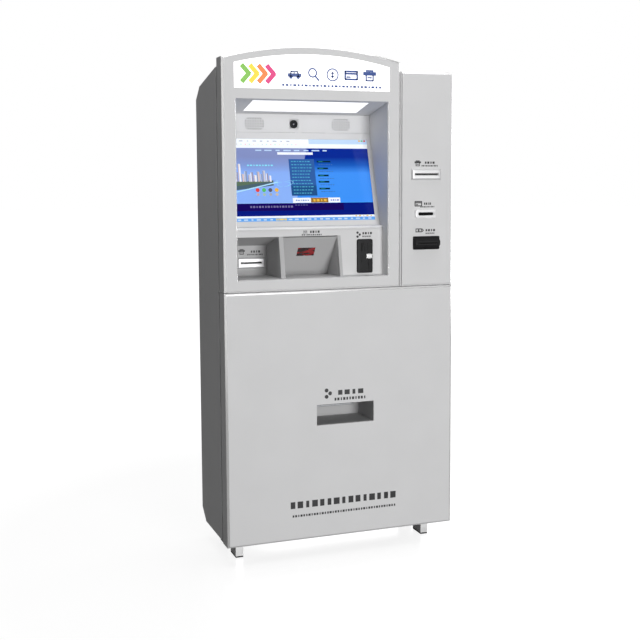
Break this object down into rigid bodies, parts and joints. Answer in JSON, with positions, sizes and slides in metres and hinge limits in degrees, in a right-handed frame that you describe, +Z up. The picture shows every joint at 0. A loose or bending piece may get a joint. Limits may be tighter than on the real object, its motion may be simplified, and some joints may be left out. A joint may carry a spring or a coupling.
{
  "type": "parking pay station",
  "caption": "Free-standing pay station with a recessed touch-screen bay, receipt, card, coin and banknote devices, and hinged service doors.",
  "frame": {"origin": "centre of the overall footprint, on the floor under the rubber pads", "axes": "+X to the right seen from the front, +Y from the door fronts to the rear panel, +Z up"},
  "size_m": [0.85, 0.3824, 1.7739],
  "materials": {
    "cabinet_paint": "silver-grey fine powder coat",
    "door_paint": "light grey fine powder coat",
    "liner_paint": "light grey powder coat",
    "pocket_paint": "silver-grey powder coat",
    "zinc_sheet": "zinc plated",
    "stainless": "satin stainless steel",
    "rubber_black": "matt",
    "black_plastic": "fine-grained black",
    "dark_plastic": "dark grey",
    "white_plastic": "white",
    "opal_acrylic": "opal, lit from behind",
    "screen_glass": "glossy display glass",
    "scanner_glass": "deep red filter",
    "module_metal": "dark case",
    "paper": "thermal paper",
    "chrome_plastic": "satin chrome"
  },
  "bodies": {
    "cabinet": {"left_side_panel": "cabinet_paint", "right_side_panel": "cabinet_paint", "roof_panel": "cabinet_paint", "rear_panel": "cabinet_paint", "base_plate": "cabinet_paint", "front_frame": "cabinet_paint", "centre_post": "door_paint", "door_seals": "rubber_black", "cabinet_hinges": "stainless", "hinge_pins": "stainless", "feet": "cabinet_paint", "foot_pads": "rubber_black", "hopper_shelf": "zinc_sheet", "coin_chute": "zinc_sheet", "industrial_pc": "module_metal", "power_supply": "zinc_sheet", "cable_gland": "rubber_black", "fan_frame": "black_plastic", "panel_screws": "stainless"},
    "fan": {"fan_rotor": "black_plastic"},
    "hopper_slide": {"hopper_tray": "zinc_sheet", "coin_hoppers": "dark_plastic"},
    "cashbox": {"coin_cashbox": "module_metal"},
    "upper_door": {"upper_door_shell": "door_paint", "bay_side_panels": "liner_paint", "bay_ceiling": "liner_paint", "downlight": "opal_acrylic", "speaker_panel": "liner_paint", "speakers": "dark_plastic", "camera": "pocket_paint", "monitor_panel": "liner_paint", "touch_glass": "screen_glass", "display_module": "module_metal", "device_panel": "liner_paint", "pocket_liner": "pocket_paint", "scanner_window": "scanner_glass", "scanner_module": "module_metal", "receipt_bezel": "stainless", "receipt_printer": "dark_plastic", "coin_bezel": "black_plastic", "coin_acceptor": "dark_plastic", "sign_panel": "opal_acrylic", "sign_light_box": "zinc_sheet"},
    "receipt_paper": {"receipt_roll": "paper"},
    "receipt_roller": {"receipt_platen": "rubber_black"},
    "return_button": {"coin_return_button": "white_plastic"},
    "upper_latch_cam": {"upper_latch": "zinc_sheet"},
    "column_door": {"column_door_shell": "door_paint", "invoice_bezel": "stainless", "invoice_printer": "dark_plastic", "card_reader": "chrome_plastic", "banknote_bezel": "black_plastic", "banknote_acceptor": "dark_plastic"},
    "invoice_paper": {"invoice_roll": "paper"},
    "note_box": {"banknote_cashbox": "module_metal"},
    "column_latch_cam": {"column_latch": "zinc_sheet"},
    "lower_door": {"lower_door_shell": "door_paint", "coin_tray": "pocket_paint", "door_lock": "stainless"},
    "hook_cam": {"lock_cam": "zinc_sheet"}
  },
  "joints": [
    {"name": "upper_door_hinge", "type": "hinge", "parent": "cabinet", "child": "upper_door", "pos_m": [-0.42, -0.10075, 1.324], "axis": [0, 0, -1], "range_deg": [0, 100]},
    {"name": "column_door_hinge", "type": "hinge", "parent": "cabinet", "child": "column_door", "pos_m": [0.42, -0.10075, 1.324], "axis": [0, 0, 1], "range_deg": [0, 100]},
    {"name": "lower_door_hinge", "type": "hinge", "parent": "cabinet", "child": "lower_door", "pos_m": [-0.42, -0.10075, 0.504], "axis": [0, 0, -1], "range_deg": [0, 100]},
    {"name": "upper_latch_turn", "type": "hinge", "parent": "upper_door", "child": "upper_latch_cam", "pos_m": [0.1206, -0.07625, 0.9735], "axis": [0, 1, 0], "range_deg": [0, 90]},
    {"name": "column_latch_turn", "type": "hinge", "parent": "column_door", "child": "column_latch_cam", "pos_m": [0.249, -0.07625, 0.9735], "axis": [0, 1, 0], "range_deg": [0, 90]},
    {"name": "lock_cam_turn", "type": "hinge", "parent": "lower_door", "child": "hook_cam", "pos_m": [0.391, -0.13825, 0.688], "axis": [-1, 0, 0], "range_deg": [0, 90]},
    {"name": "return_button_press", "type": "slide", "parent": "upper_door", "child": "return_button", "axis": [0, 1, 0], "range_m": [0, 0.0025]},
    {"name": "receipt_roll_spin", "type": "hinge", "parent": "upper_door", "child": "receipt_paper", "pos_m": [-0.276, 0.09275, 1.0535], "axis": [1, 0, 0], "continuous": true},
    {"name": "receipt_platen_spin", "type": "hinge", "parent": "upper_door", "child": "receipt_roller", "pos_m": [-0.276, 0.04275, 1.0345], "axis": [1, 0, 0], "continuous": true},
    {"name": "invoice_roll_spin", "type": "hinge", "parent": "column_door", "child": "invoice_paper", "pos_m": [0.3165, -0.09725, 1.363], "axis": [1, 0, 0], "continuous": true},
    {"name": "note_box_slide", "type": "slide", "parent": "column_door", "child": "note_box", "axis": [0, 1, 0], "range_m": [0, 0.05]},
    {"name": "hopper_slide_out", "type": "slide", "parent": "cabinet", "child": "hopper_slide", "axis": [0, -1, 0], "range_m": [0, 0.07]},
    {"name": "cashbox_slide_out", "type": "slide", "parent": "cabinet", "child": "cashbox", "axis": [0, -1, 0], "range_m": [0, 0.04]},
    {"name": "fan_spin", "type": "hinge", "parent": "cabinet", "child": "fan", "pos_m": [0, 0.17375, 1.498], "axis": [0, 1, 0], "continuous": true}
  ],
  "couplings": [
    {"joint": "receipt_platen_spin", "follows": "receipt_roll_spin", "ratio": -4}
  ]
}
